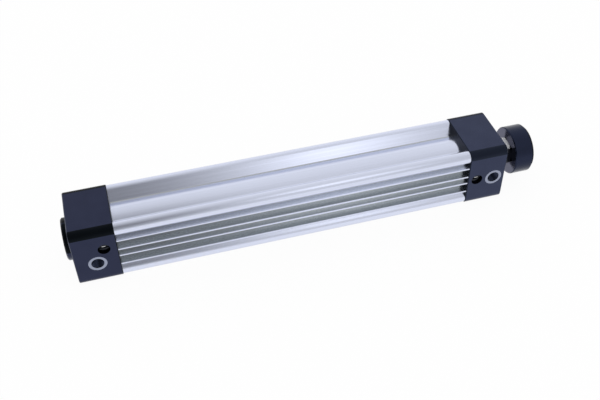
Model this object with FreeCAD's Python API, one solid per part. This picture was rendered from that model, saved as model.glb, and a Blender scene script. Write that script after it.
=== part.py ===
import FreeCAD, Part
import math
import os

# Non-rotating pneumatic cylinder, shown with its rod drawn in.
# Lengths are in millimetres. The origin is on the cylinder's axis at the rear cap's outer face,
# +X runs towards the rod end, the ports and adjusting screws face -Y, and +Z is up.

# Overall sizes
bore_diameter = 32.0
body_over_tube = 5.3
body_corner_r = 5.3
edge_chamfer = 0.5
rear_cap_length = 30.4
front_cap_length = 28.8
stroke = 200.0

# Barrel extrusion
tube_wall = 2.7
barrel_recess = 0.6
lobe_half_width = 4.6
lobe_corner_r = 4.6
lobe_flank_r = 4.1
lobe_valley_r = 1.3
rib_thickness = 1.4
inner_rib_z = 3.0
outer_rib_z = 10.9
groove_into_tube = 0.35
land_over_tube = 1.7
rib_tip_r = 0.45

# End cap screws, whose heads are tapped for fixing the cylinder
screw_from_side = 7.75
screw_head_r = 5.0
screw_recess = 0.6
screw_shank_r = 2.7
screw_grip = 15.0
screw_hole_extra = 2.0
mount_thread_r = 2.5
mount_thread_depth = 9.0
screw_socket_across = 4.0
screw_socket_depth = 2.0
screw_socket_floor = 2.0

# Rear centring boss
boss_r = 15.0
boss_height = 4.2
boss_chamfer = 0.9
boss_rim_width = 3.5
boss_dish_depth = 1.2

# Ports
port_r = 4.283
port_mouth_chamfer = 0.2
port_depth = 9.3
port_face_width = 1.917
port_face_depth = 0.1
rear_port_x = 15.2
rear_port_z = -5.6
front_port_from_end = 8.7
front_port_z = -1.2
airway_r = 1.6
cross_airway_r = 1.2

# Cap spigots, cushion chambers and their seals
spigot_length = 8.0
spigot_wall = 6.5
cushion_length = 18.0
cushion_lead = 1.0
chamber_gap = 1.0
chamber_past_port = 4.2
chamber_past_sleeve = 5.3
cushion_seal_width = 3.0
cushion_seal_depth = 1.8
cushion_seal_notch = 1.2
cushion_lip = 0.8
o_ring_cord_r = 0.85
o_ring_groove_width = 2.2

# Adjusting screws of the end cushions
rear_needle_from_inner = 9.0
rear_needle_z = 6.6
front_needle_from_inner = 7.0
front_needle_z = -0.5
needle_head_r = 4.2
needle_head_dome = 0.4
needle_recess = 2.0
needle_head_length = 4.5
needle_groove_wall = 1.0
needle_seat_r = 0.8
needle_seat_wall = 0.4
needle_thread_r = 2.95
needle_thread_length = 3.0
needle_stem_r = 1.2
needle_stem_gap = 0.4
needle_tip_r = 0.4
needle_tip_length = 2.0
needle_tip_reach = 0.45
needle_slot_width = 1.1
needle_slot_depth = 1.0
needle_closing_travel = 0.5
needle_end_gap = 0.1

# Piston
piston_half_length = 17.3
bumper_thickness = 2.0
bumper_inset = 2.3
seal_groove_depth = 4.0
seal_groove_width = 4.0
seal_groove_from_end = 3.0
seal_notch_half_width = 0.7
seal_notch_depth = 1.8
seal_lip_land = 0.8
magnet_width = 7.0
magnet_thickness = 4.4
guide_ring_thickness = 1.45
stop_gap = 0.3

# Rod and what it carries
rod_across_flats = 12.2
rod_corner_break = 0.19
rod_neck_r = 5.0
rod_tail_r = 4.0
rod_tail_thread_length = 12.0
rod_thread_r = 6.0
rod_gap = 12.2
rod_chamfer = 0.6
rod_thread_relief = 1.0
nut_across_flats = 19.0
nut_thickness = 6.0
nut_turn_degrees = 12.0
head_r = 18.0
head_length = 15.2
head_front_chamfer = 1.9
head_back_chamfer = 0.7
head_floor = 4.2
centre_drill_r = 1.6

# Guide and seals in the front cap
bush_shoulder = 0.5
bush_key_r = 1.0
bush_key_length = 4.0
rod_seal_width = 3.4
clip_thickness = 1.2
clip_width = 2.4
clip_groove_depth = 0.8
clip_gap = 5.0
wiper_thickness = 2.6
wiper_recess = 0.4

# Clearances, all radial
screw_clearance = 0.2
shank_clearance = 0.05
spigot_clearance = 0.05
piston_clearance = 0.2
bumper_clearance = 0.4
sliding_clearance = 0.05
guide_clearance = 0.05
seal_clearance = 0.03
needle_clearance = 0.05
static_clearance = 0.05
magnet_clearance = 0.1

# How far solids that are joined run into each other, and cuts run past a face
overrun = 1.0

# Radii and levels worked out from the sizes above
bore_r = bore_diameter / 2
tube_r = bore_r + tube_wall
half_side = tube_r + body_over_tube
barrel_half = half_side - barrel_recess
screw_offset = half_side - screw_from_side
screw_head_length = mount_thread_depth + screw_socket_depth + screw_socket_floor
port_mouth_r = port_r + port_mouth_chamfer
port_seat_y = -half_side + port_face_depth
port_floor_y = port_seat_y + port_depth
spigot_r = bore_r - spigot_clearance
barrel_seal_root_r = spigot_r - 2 * o_ring_cord_r
cushion_r = bore_r - spigot_wall
chamber_r = cushion_r + chamber_gap
cushion_seal_r = cushion_r + cushion_seal_depth
bypass_ring_r = (cushion_seal_r + barrel_seal_root_r) / 2
needle_top_y = -half_side + needle_recess
needle_under_y = needle_top_y + needle_head_length
needle_groove_y = needle_under_y - needle_groove_wall - o_ring_groove_width / 2
piston_r = bore_r - piston_clearance
seal_groove_r = piston_r - seal_groove_depth
guide_ring_r = bore_r - sliding_clearance
magnet_outer_r = guide_ring_r - guide_ring_thickness - magnet_clearance
magnet_inner_r = magnet_outer_r - magnet_thickness
magnet_seat_r = magnet_inner_r - static_clearance
bumper_inner_r = cushion_r + bumper_clearance
bumper_outer_r = piston_r - bumper_inset
rod_corner_r = rod_across_flats / math.sqrt(3) - rod_corner_break
bush_r = chamber_r + bush_shoulder

# Places along the axis: the barrel is as long as the piston, its stroke and the caps' spigots need
piston_length = 2 * piston_half_length + 2 * bumper_thickness
barrel_length = 2 * (spigot_length + stop_gap) + piston_length + stroke
rear_inner = rear_cap_length
front_inner = rear_inner + barrel_length
front_face = front_inner + front_cap_length
rear_spigot = rear_inner + spigot_length
front_spigot = front_inner - spigot_length
rear_barrel_seal_x = rear_inner + spigot_length / 2
front_barrel_seal_x = front_inner - spigot_length / 2
rear_chamber_floor = rear_port_x - chamber_past_port
rear_needle_x = rear_inner - rear_needle_from_inner
front_port_x = front_face - front_port_from_end
front_needle_x = front_inner + front_needle_from_inner
piston_rear = rear_spigot + stop_gap
piston_tail = piston_rear + bumper_thickness
piston_middle = piston_tail + piston_half_length
piston_front = piston_middle + piston_half_length
magnet_start = piston_middle - magnet_width / 2
magnet_end = piston_middle + magnet_width / 2
rod_shoulder = piston_front + cushion_length
rod_tail_end = piston_tail - rod_tail_thread_length
front_chamber_floor = rod_shoulder + stroke + chamber_past_sleeve
wiper_front = front_face - wiper_recess
clip_front = wiper_front - wiper_thickness
rod_seal_front = clip_front - clip_thickness
bush_front = rod_seal_front - rod_seal_width
head_back = front_face + rod_gap
head_front = head_back + head_length
head_thread_end = head_front - head_floor
nut_back = head_back - nut_thickness
rod_hexagon_end = nut_back - rod_thread_relief

AXIS_X = FreeCAD.Vector(1, 0, 0)
AXIS_Y = FreeCAD.Vector(0, 1, 0)
ORIGIN = FreeCAD.Vector(0, 0, 0)
CORNERS = [(1, 1), (-1, 1), (-1, -1), (1, -1)]


def rod_along_x(radius, x0, x1, y=0.0, z=0.0):
    """A round bar between x0 and x1, given in either order."""
    return Part.makeCylinder(radius, abs(x1 - x0), FreeCAD.Vector(min(x0, x1), y, z), AXIS_X)


def rod_along_y(radius, y0, y1, x, z):
    """A round bar from y0 to y1."""
    return Part.makeCylinder(radius, y1 - y0, FreeCAD.Vector(x, y0, z), AXIS_Y)


def ring_along_x(inner_r, outer_r, x0, x1):
    """A plain ring on the cylinder's axis."""
    return rod_along_x(outer_r, x0, x1).cut(rod_along_x(inner_r, x0, x1))


def turned(profile):
    """A closed profile of (x, radius) corners, turned about the cylinder's axis."""
    points = [FreeCAD.Vector(x, 0, r) for x, r in profile]
    face = Part.Face(Part.makePolygon(points + points[:1]))
    return face.revolve(ORIGIN, AXIS_X, 360)


def turned_about_y(profile, x, z):
    """A closed profile of (y, radius) corners, turned about the line through (x, z) along Y."""
    points = [FreeCAD.Vector(x + r, y, z) for y, r in profile]
    face = Part.Face(Part.makePolygon(points + points[:1]))
    return face.revolve(FreeCAD.Vector(x, 0, z), AXIS_Y, 360)


def hexagon_along_x(across_flats, x0, x1, turn=0.0, y=0.0, z=0.0):
    """A hexagonal bar from x0 to x1, with a flat facing up before it is turned."""
    corner_r = across_flats / math.sqrt(3)
    angles = [math.radians(turn + 60 * i) for i in range(6)]
    points = [FreeCAD.Vector(x0, y + corner_r * math.cos(a), z + corner_r * math.sin(a)) for a in angles]
    face = Part.Face(Part.makePolygon(points + points[:1]))
    return face.extrude(FreeCAD.Vector(x1 - x0, 0, 0))


def hexagon_ring(outer_r, across_flats, x0, x1):
    """A round ring with a hexagonal hole that matches the rod."""
    return rod_along_x(outer_r, x0, x1).cut(hexagon_along_x(across_flats, x0, x1))


def square_along_x(half, corner_r, x0, x1):
    """A square bar with rounded long edges."""
    block = Part.makeBox(x1 - x0, 2 * half, 2 * half, FreeCAD.Vector(x0, -half, -half))
    long_edges = [e for e in block.Edges if abs(e.tangentAt(e.FirstParameter).x) > 0.99]
    return block.makeFillet(corner_r, long_edges)


def barrel_edges_at(solid, places):
    """The barrel's edges that run its whole length through the given (y, z) places."""
    found = []
    for edge in solid.Edges:
        start = edge.Vertexes[0].Point
        end = edge.Vertexes[-1].Point
        runs_along = abs(start.x - end.x) > barrel_length / 2
        if runs_along and any(math.hypot(start.y - y, start.z - z) < 0.01 for y, z in places):
            found.append(edge)
    return found


def fuse_all(solids):
    """One solid from several that overlap."""
    joined = solids[0]
    for solid in solids[1:]:
        joined = joined.fuse(solid)
    return joined.removeSplitter()


def o_ring(x, centre_r):
    """A round seal about the cylinder's axis."""
    return Part.makeTorus(centre_r, o_ring_cord_r, FreeCAD.Vector(x, 0, 0), AXIS_X)


def save(name, shape):
    """Writes one node."""
    shape.exportStep("parts/%s.step" % name)


def barrel_section():
    """The solid profile of the barrel: a round tube, four corner lobes and four ribs on a base."""
    # The lobes are the corners of a rounded square, kept where two crossed diagonal bands run.
    flank = barrel_half - math.sqrt(2) * lobe_half_width
    corner_r = min(lobe_corner_r, 0.9 * (barrel_half - flank))
    square = square_along_x(barrel_half, corner_r, rear_inner, front_inner)
    reach = 2 * half_side
    lobes = []
    for turn in (45, -45):
        band = Part.makeBox(barrel_length, 2 * lobe_half_width, 2 * reach,
                            FreeCAD.Vector(rear_inner, -lobe_half_width, -reach))
        band.rotate(ORIGIN, AXIS_X, turn)
        lobes.append(square.common(band))

    # The ribs and the ground between them run into the tube's wall, and the ground into the lobes.
    front = -barrel_half
    root = -bore_r - tube_wall / 2
    base_top = groove_into_tube - tube_r
    base_half = -base_top - math.sqrt(2) * lobe_half_width + overrun
    land_top = -tube_r - land_over_tube
    base = Part.makeBox(barrel_length, root - base_top, 2 * base_half,
                        FreeCAD.Vector(rear_inner, base_top, -base_half))
    land = Part.makeBox(barrel_length, root - land_top, 2 * inner_rib_z,
                        FreeCAD.Vector(rear_inner, land_top, -inner_rib_z))
    rib_middles = [-outer_rib_z, -inner_rib_z, inner_rib_z, outer_rib_z]
    ribs = [Part.makeBox(barrel_length, root - front, rib_thickness,
                         FreeCAD.Vector(rear_inner, front, z - rib_thickness / 2)) for z in rib_middles]
    section = fuse_all([rod_along_x(tube_r, rear_inner, front_inner)] + lobes + [base, land] + ribs)

    # The shoulders of each lobe, the valleys beside it and the tips of the ribs are rounded.
    flat = barrel_half - corner_r - flank
    shoulders = []
    for a, b in CORNERS:
        shoulders += [(a * barrel_half, b * flank), (a * flank, b * barrel_half)]
    shoulder_r = min(lobe_flank_r, 0.9 * flat / math.tan(math.radians(22.5)))
    section = section.makeFillet(shoulder_r, barrel_edges_at(section, shoulders))
    along = math.sqrt(tube_r ** 2 - lobe_half_width ** 2)
    far = (along + lobe_half_width) / math.sqrt(2)
    near = (along - lobe_half_width) / math.sqrt(2)
    valleys = [(near, far), (-near, far), (near, -far), (-near, -far), (far, near), (far, -near)]
    section = section.makeFillet(lobe_valley_r, barrel_edges_at(section, valleys))
    tips = []
    for z in rib_middles:
        tips += [(front, z - rib_thickness / 2), (front, z + rib_thickness / 2)]
    return section.makeFillet(min(rib_tip_r, 0.45 * rib_thickness), barrel_edges_at(section, tips))


def make_barrel():
    """The extruded barrel with its bore and the threaded holes of the cap screws."""
    barrel = barrel_section().cut(rod_along_x(bore_r, rear_inner, front_inner))
    hole_r = screw_shank_r + shank_clearance
    depth = screw_grip + screw_hole_extra
    for a, b in CORNERS:
        y, z = a * screw_offset, b * screw_offset
        barrel = barrel.cut(rod_along_x(hole_r, rear_inner, rear_inner + depth, y, z))
        barrel = barrel.cut(rod_along_x(hole_r, front_inner - depth, front_inner, y, z))
    return barrel


def cap_block(x0, x1):
    """The square body of an end cap, with its end edges broken."""
    block = square_along_x(half_side, body_corner_r, x0, x1)
    end_edges = [e for e in block.Edges if abs(e.Vertexes[0].X - e.Vertexes[-1].X) < 0.01]
    return block.makeChamfer(edge_chamfer, end_edges)


def port_cut(x, z):
    """The spot face, the chamfered mouth and the tapped hole of a port."""
    outside = -half_side - overrun
    face_r = port_mouth_r + port_face_width
    return turned_about_y([(outside, 0), (outside, face_r), (port_seat_y, face_r), (port_seat_y, port_mouth_r),
                           (port_seat_y + port_mouth_chamfer, port_r), (port_floor_y, port_r),
                           (port_floor_y, 0)], x, z)


def bypass_y(z):
    """Y of the bypass way at height z, which runs between the cushion seal and the barrel seal."""
    return -math.sqrt(bypass_ring_r ** 2 - z ** 2)


def needle_seat_y(z):
    """Y of the seat that an adjusting screw at height z closes, just past its bypass way."""
    return bypass_y(z) + needle_seat_r + needle_seat_wall


def needle_cut(x, z):
    """The stepped hole of an adjusting screw, down to its seat and into the cushion chamber."""
    outside = -half_side - overrun
    shoulder = needle_under_y + needle_closing_travel + needle_end_gap
    thread_end = shoulder + needle_thread_length
    seat = needle_seat_y(z)
    inside = -math.sqrt(chamber_r ** 2 - z ** 2) + overrun
    head_hole = needle_head_r + needle_clearance
    thread_hole = needle_thread_r + needle_clearance
    stem_hole = needle_stem_r + needle_stem_gap
    return turned_about_y([(outside, 0), (outside, head_hole), (shoulder, head_hole), (shoulder, thread_hole),
                           (thread_end, thread_hole), (thread_end, stem_hole), (seat, stem_hole),
                           (seat, needle_seat_r), (inside, needle_seat_r), (inside, 0)], x, z)


def screw_cuts(outer, inner):
    """The stepped holes of the four cap screws, from a cap's outer face to its inner one."""
    inward = 1 if inner > outer else -1
    seat = outer + inward * (screw_recess + screw_head_length)
    cuts = []
    for a, b in CORNERS:
        y, z = a * screw_offset, b * screw_offset
        cuts.append(rod_along_x(screw_head_r + screw_clearance, outer, seat, y, z))
        cuts.append(rod_along_x(screw_shank_r + screw_clearance, outer, inner, y, z))
    return cuts


def cushion_cut(mouth, floor):
    """The cushion chamber with its seal groove, from the spigot's face to the chamber's floor."""
    inward = 1 if floor > mouth else -1
    outside = mouth - inward * overrun
    lip = mouth + inward * cushion_lip
    groove = lip + inward * cushion_seal_width
    throat_r = cushion_r + piston_clearance
    return turned([(outside, 0), (outside, throat_r), (lip, throat_r), (lip, cushion_seal_r),
                   (groove, cushion_seal_r), (groove, chamber_r), (floor, chamber_r), (floor, 0)])


def spigot(x0, x1, seal_x):
    """The round spigot of a cap, with the groove of its barrel seal."""
    start = seal_x - o_ring_groove_width / 2
    end = seal_x + o_ring_groove_width / 2
    return turned([(x0, 0), (x0, spigot_r), (start, spigot_r), (start, barrel_seal_root_r),
                   (end, barrel_seal_root_r), (end, spigot_r), (x1, spigot_r), (x1, 0)])


def bypass_cut(x, z, mouth):
    """The drilled way from the spigot's face to the adjusting screw's seat."""
    return rod_along_x(needle_seat_r, x, mouth, bypass_y(z), z)


def make_rear_cap():
    """Machined cap with a centring boss, port, cushion chamber and adjusting screw hole."""
    boss = turned([(-boss_height, 0), (-boss_height, boss_r - boss_chamfer), (-boss_height + boss_chamfer, boss_r),
                   (overrun, boss_r), (overrun, 0)])
    body = cap_block(0, rear_inner)
    cap = fuse_all([body, boss, spigot(rear_inner - overrun, rear_spigot, rear_barrel_seal_x)])
    cuts = [rod_along_x(boss_r - boss_rim_width, -boss_height, -boss_height + boss_dish_depth),
            cushion_cut(rear_spigot, rear_chamber_floor),
            port_cut(rear_port_x, rear_port_z),
            rod_along_y(airway_r, port_floor_y - overrun, 0, rear_port_x, rear_port_z),
            needle_cut(rear_needle_x, rear_needle_z),
            bypass_cut(rear_needle_x, rear_needle_z, rear_spigot)]
    for cut in cuts + screw_cuts(0, rear_inner):
        cap = cap.cut(cut)
    return cap


def make_bush_key():
    """The dowel that stops the guide bush from turning, half in the bush and half in the cap."""
    return rod_along_x(bush_key_r, bush_front - bush_key_length, bush_front, 0, bush_r)


def make_front_cap():
    """Machined cap with port, cushion chamber, adjusting screw hole and the guide's stepped bore."""
    body = cap_block(front_inner, front_face)
    cap = fuse_all([body, spigot(front_spigot, front_inner + overrun, front_barrel_seal_x)])
    # The port's air runs back along the cap, then down into the chamber beside the bush.
    cross_x = front_chamber_floor - airway_r
    cross_y = port_floor_y + airway_r / 2
    cross_z = front_port_z - port_r + airway_r
    cuts = [cushion_cut(front_spigot, front_chamber_floor),
            port_cut(front_port_x, front_port_z),
            rod_along_x(airway_r, cross_x - airway_r, front_port_x, cross_y, cross_z),
            rod_along_y(cross_airway_r, cross_y, 0, cross_x, cross_z),
            needle_cut(front_needle_x, front_needle_z),
            bypass_cut(front_needle_x, front_needle_z, front_spigot),
            rod_along_x(bush_r, front_chamber_floor, front_face),
            rod_along_x(bush_r + clip_groove_depth, rod_seal_front, clip_front),
            make_bush_key()]
    for cut in cuts + screw_cuts(front_face, front_inner):
        cap = cap.cut(cut)
    return cap


def make_cap_screws(outer, inner):
    """Four cap screws, each with a tapped head and a hexagon socket at the thread's end."""
    inward = 1 if inner > outer else -1
    top = outer + inward * screw_recess
    under = top + inward * screw_head_length
    end = inner + inward * screw_grip
    thread_end = top + inward * mount_thread_depth
    socket_end = thread_end + inward * screw_socket_depth
    screws = []
    for a, b in CORNERS:
        y, z = a * screw_offset, b * screw_offset
        head = rod_along_x(screw_head_r, top, under, y, z)
        shank = rod_along_x(screw_shank_r, under, end, y, z)
        thread = rod_along_x(mount_thread_r, top, thread_end, y, z)
        socket = hexagon_along_x(screw_socket_across, thread_end, socket_end, 0, y, z)
        screws.append(fuse_all([head, shank]).cut(thread).cut(socket))
    return Part.makeCompound(screws)


def make_cushion_screw(x, z):
    """Adjusting screw: slotted head with a seal groove, thread, stem and conical tip."""
    thread_end = needle_under_y + needle_thread_length
    tip_end = needle_seat_y(z) + needle_tip_reach
    tip_start = tip_end - needle_tip_length
    groove_start = needle_groove_y - o_ring_groove_width / 2
    groove_end = needle_groove_y + o_ring_groove_width / 2
    groove_r = needle_head_r + needle_clearance - 2 * o_ring_cord_r
    body = turned_about_y([(needle_top_y, 0), (needle_top_y, needle_head_r - needle_head_dome),
                           (needle_top_y + needle_head_dome, needle_head_r), (groove_start, needle_head_r),
                           (groove_start, groove_r), (groove_end, groove_r), (groove_end, needle_head_r),
                           (needle_under_y, needle_head_r), (needle_under_y, needle_thread_r),
                           (thread_end, needle_thread_r), (thread_end, needle_stem_r),
                           (tip_start, needle_stem_r), (tip_end, needle_tip_r), (tip_end, 0)], x, z)
    slot_half_length = needle_head_r + overrun
    slot = Part.makeBox(2 * slot_half_length, needle_slot_depth, needle_slot_width,
                        FreeCAD.Vector(x - slot_half_length, needle_top_y, z - needle_slot_width / 2))
    return body.cut(slot)


def make_screw_seal(x, z):
    """Round seal in the groove of an adjusting screw's head."""
    centre_r = needle_head_r + needle_clearance - o_ring_cord_r
    cord_r = o_ring_cord_r - needle_clearance / 2
    return Part.makeTorus(centre_r, cord_r, FreeCAD.Vector(x, needle_groove_y, z), AXIS_Y)


def make_cushion_seal(mouth, inward):
    """Ring seal with a grooved face, held behind the lip of a cushion chamber."""
    near = mouth + inward * (cushion_lip + static_clearance)
    far = mouth + inward * (cushion_lip + cushion_seal_width - static_clearance)
    inner_r = cushion_r + seal_clearance
    outer_r = cushion_seal_r - static_clearance
    middle = (inner_r + outer_r) / 2
    quarter = (outer_r - inner_r) / 4
    return turned([(near, inner_r), (near, outer_r), (far, outer_r), (far, middle + quarter),
                   (far - inward * cushion_seal_notch, middle), (far, middle - quarter), (far, inner_r)])


def piston_half(end, inward):
    """One half of the piston: a seal groove near its end and half of the magnet's seat."""
    groove_start = end + inward * seal_groove_from_end
    groove_end = groove_start + inward * seal_groove_width
    seat_start = piston_middle - inward * magnet_width / 2
    hole_r = rod_tail_r + static_clearance
    return turned([(end, hole_r), (end, piston_r), (groove_start, piston_r), (groove_start, seal_groove_r),
                   (groove_end, seal_groove_r), (groove_end, piston_r), (seat_start, piston_r),
                   (seat_start, magnet_seat_r), (piston_middle, magnet_seat_r), (piston_middle, hole_r)])


def make_piston_seal(end, inward):
    """Lip seal of the piston: its two lips face the pressure side."""
    start = end + inward * (seal_groove_from_end + static_clearance)
    back = start + inward * (seal_groove_width - 2 * static_clearance)
    outer_r = bore_r - seal_clearance
    inner_r = seal_groove_r + static_clearance
    middle = (outer_r + inner_r) / 2
    return turned([(back, inner_r), (start, inner_r), (start, middle - seal_notch_half_width),
                   (start + inward * seal_notch_depth, middle), (start, middle + seal_notch_half_width),
                   (start, outer_r), (start + inward * seal_lip_land, outer_r),
                   (back, piston_r - static_clearance)])


def make_piston_rod():
    """Hexagonal rod with a turned neck and tail for the piston and a threaded nose for the head."""
    hexagon = hexagon_along_x(rod_across_flats, rod_shoulder, rod_hexagon_end)
    corners = turned([(rod_shoulder, 0), (rod_shoulder, rod_corner_r - rod_chamfer),
                      (rod_shoulder + rod_chamfer, rod_corner_r), (rod_hexagon_end - rod_chamfer, rod_corner_r),
                      (rod_hexagon_end, rod_corner_r - rod_chamfer), (rod_hexagon_end, 0)])
    tail = turned([(rod_tail_end, 0), (rod_tail_end, rod_tail_r - rod_chamfer),
                   (rod_tail_end + rod_chamfer, rod_tail_r), (piston_front, rod_tail_r),
                   (piston_front, rod_neck_r), (rod_shoulder + overrun, rod_neck_r), (rod_shoulder + overrun, 0)])
    nose_r = rod_thread_r - static_clearance
    nose_start = rod_hexagon_end - overrun
    nose_end = head_thread_end - rod_thread_relief
    nose = turned([(nose_start, 0), (nose_start, nose_r), (nose_end - rod_chamfer, nose_r),
                   (nose_end, nose_r - rod_chamfer), (nose_end, 0)])
    return fuse_all([hexagon.common(corners), tail, nose])


def make_lock_nut():
    """Hexagon nut with turned corners that locks the head on the rod's thread."""
    corner_r = nut_across_flats / math.sqrt(3)
    flat_r = nut_across_flats / 2
    drop = (corner_r - flat_r) * math.tan(math.radians(30))
    hexagon = hexagon_along_x(nut_across_flats, nut_back, head_back, nut_turn_degrees)
    corners = turned([(nut_back, 0), (nut_back, flat_r), (nut_back + drop, corner_r), (head_back - drop, corner_r),
                      (head_back, flat_r), (head_back, 0)])
    return hexagon.common(corners).cut(rod_along_x(rod_thread_r, nut_back, head_back))


def make_rod_head():
    """Round head with a broken back edge, a chamfered front edge and a blind thread at the back."""
    return turned([(head_back, rod_thread_r), (head_back, head_r - head_back_chamfer),
                   (head_back + head_back_chamfer, head_r), (head_front - head_front_chamfer, head_r),
                   (head_front, head_r - head_front_chamfer), (head_front, centre_drill_r),
                   (head_front - centre_drill_r, 0), (head_thread_end, 0), (head_thread_end, rod_thread_r)])


def make_piston_front_half():
    """The front half of the piston, with a recess for the seal on the rod's tail."""
    recess_r = rod_tail_r + static_clearance + 2 * o_ring_cord_r
    recess = rod_along_x(recess_r, piston_middle, piston_middle + 2 * o_ring_cord_r)
    return piston_half(piston_front, -1).cut(recess)


def make_seal_clip():
    """Split ring in the front cap's groove that keeps the bush and the rod seal in place."""
    outer_r = bush_r + clip_groove_depth - static_clearance
    gap = Part.makeBox(clip_thickness, clip_gap, outer_r + overrun,
                       FreeCAD.Vector(rod_seal_front, -clip_gap / 2, -outer_r - overrun))
    return ring_along_x(outer_r - clip_width, outer_r, rod_seal_front, clip_front).cut(gap)


def make_cushion_sleeve():
    """Sleeve on the rod's neck that closes the front chamber near the end of the stroke."""
    hole_r = rod_neck_r + static_clearance
    return turned([(piston_front, hole_r), (piston_front, cushion_r), (rod_shoulder - cushion_lead, cushion_r),
                   (rod_shoulder, cushion_r - cushion_lead / 2), (rod_shoulder, hole_r)])


def make_cushion_spear():
    """Nut with a long round nose that holds the piston and closes the rear chamber."""
    end = piston_tail - cushion_length
    hole_r = rod_tail_r + static_clearance
    hole_end = rod_tail_end - rod_thread_relief
    spear = turned([(piston_tail, hole_r), (piston_tail, cushion_r), (end + cushion_lead, cushion_r),
                    (end, cushion_r - cushion_lead / 2), (end, 0), (hole_end, 0), (hole_end, hole_r)])
    return spear.cut(hexagon_along_x(2 * rod_tail_r, end, (end + hole_end) / 2))


os.makedirs("parts", exist_ok=True)

save("barrel", make_barrel())
save("rear_cap", make_rear_cap())
save("front_cap", make_front_cap())
save("rear_cap_screws", make_cap_screws(0, rear_inner))
save("front_cap_screws", make_cap_screws(front_face, front_inner))
save("rear_barrel_seal", o_ring(rear_barrel_seal_x, spigot_r - o_ring_cord_r))
save("front_barrel_seal", o_ring(front_barrel_seal_x, spigot_r - o_ring_cord_r))
save("rear_cushion_seal", make_cushion_seal(rear_spigot, -1))
save("front_cushion_seal", make_cushion_seal(front_spigot, 1))
save("rear_cushion_screw", make_cushion_screw(rear_needle_x, rear_needle_z))
save("rear_screw_seal", make_screw_seal(rear_needle_x, rear_needle_z))
save("front_cushion_screw", make_cushion_screw(front_needle_x, front_needle_z))
save("front_screw_seal", make_screw_seal(front_needle_x, front_needle_z))

guide_hole = rod_across_flats + 2 * guide_clearance
seal_hole = rod_across_flats + 2 * seal_clearance
seal_outer_r = bush_r - static_clearance
save("guide_bush", hexagon_ring(bush_r, guide_hole, front_chamber_floor, bush_front).cut(make_bush_key()))
save("bush_key", make_bush_key())
save("rod_seal", hexagon_ring(seal_outer_r, seal_hole, bush_front, rod_seal_front))
save("seal_clip", make_seal_clip())
save("rod_wiper", hexagon_ring(seal_outer_r, seal_hole, clip_front, wiper_front))

save("piston_rod", make_piston_rod())
save("lock_nut", make_lock_nut())
save("rod_head", make_rod_head())
save("piston_rear_half", piston_half(piston_tail, 1))
save("piston_front_half", make_piston_front_half())
save("piston_static_seal", o_ring(piston_middle + o_ring_cord_r, rod_tail_r + static_clearance + o_ring_cord_r))
save("rear_piston_seal", make_piston_seal(piston_tail, 1))
save("front_piston_seal", make_piston_seal(piston_front, -1))
save("magnet_ring", ring_along_x(magnet_inner_r, magnet_outer_r, magnet_start, magnet_end))
save("guide_ring", ring_along_x(guide_ring_r - guide_ring_thickness, guide_ring_r, magnet_start, magnet_end))
save("rear_bumper", ring_along_x(bumper_inner_r, bumper_outer_r, piston_rear, piston_tail))
save("front_bumper", ring_along_x(bumper_inner_r, bumper_outer_r, piston_front, piston_front + bumper_thickness))
save("cushion_sleeve", make_cushion_sleeve())
save("cushion_spear", make_cushion_spear())
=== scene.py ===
import math

import bpy
import numpy as np
from mathutils import Matrix, Vector


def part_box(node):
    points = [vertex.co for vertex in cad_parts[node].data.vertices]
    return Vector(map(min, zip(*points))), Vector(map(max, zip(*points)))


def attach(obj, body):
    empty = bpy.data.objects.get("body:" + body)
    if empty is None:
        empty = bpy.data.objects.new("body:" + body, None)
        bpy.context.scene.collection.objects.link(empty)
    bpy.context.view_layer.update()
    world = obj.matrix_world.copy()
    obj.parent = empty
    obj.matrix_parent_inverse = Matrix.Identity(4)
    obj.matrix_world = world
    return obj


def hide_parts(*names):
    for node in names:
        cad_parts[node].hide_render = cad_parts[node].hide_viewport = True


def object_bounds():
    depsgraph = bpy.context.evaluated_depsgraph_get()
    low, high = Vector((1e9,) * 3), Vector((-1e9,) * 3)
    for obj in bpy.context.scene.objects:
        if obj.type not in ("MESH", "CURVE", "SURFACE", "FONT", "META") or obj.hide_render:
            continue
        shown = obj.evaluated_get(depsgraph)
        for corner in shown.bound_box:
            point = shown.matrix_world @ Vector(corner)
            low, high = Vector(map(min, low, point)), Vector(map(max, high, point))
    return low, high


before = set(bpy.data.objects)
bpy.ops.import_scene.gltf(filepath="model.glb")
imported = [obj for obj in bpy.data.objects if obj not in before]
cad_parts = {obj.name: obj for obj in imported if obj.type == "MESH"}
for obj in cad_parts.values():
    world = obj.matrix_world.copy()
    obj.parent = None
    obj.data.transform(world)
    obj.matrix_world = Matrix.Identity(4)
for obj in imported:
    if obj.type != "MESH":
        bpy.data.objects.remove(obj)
cad_low, cad_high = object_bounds()


# The camera stands in front of the cylinder's rear end and looks down at it, as the photograph does.
# Its lens matches the photograph's perspective.
camera_place = Vector((0.04650, -0.43712, 0.42127))
camera_azimuth = math.radians(-15.069)
camera_elevation = math.radians(43.492)
camera_roll = math.radians(-1.016)
camera_lens_mm = 51.13
camera_sensor_mm = 36.0
camera_nearest = 0.01

scene = bpy.context.scene
camera_data = bpy.data.cameras.new("camera")
camera_data.lens = camera_lens_mm
camera_data.sensor_width = camera_sensor_mm
camera_data.clip_start = camera_nearest
camera = bpy.data.objects.new("camera", camera_data)
scene.collection.objects.link(camera)
towards_camera = Vector((math.sin(camera_azimuth) * math.cos(camera_elevation),
                         -math.cos(camera_azimuth) * math.cos(camera_elevation),
                         math.sin(camera_elevation)))
level = Vector((0, 0, 1)).cross(towards_camera).normalized()
turned = Matrix((level, towards_camera.cross(level), towards_camera)).transposed()
turned = turned @ Matrix.Rotation(camera_roll, 3, "Z")
camera.matrix_world = Matrix.Translation(camera_place) @ turned.to_4x4()
scene.camera = camera
scene.view_settings.view_transform = "Standard"


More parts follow.
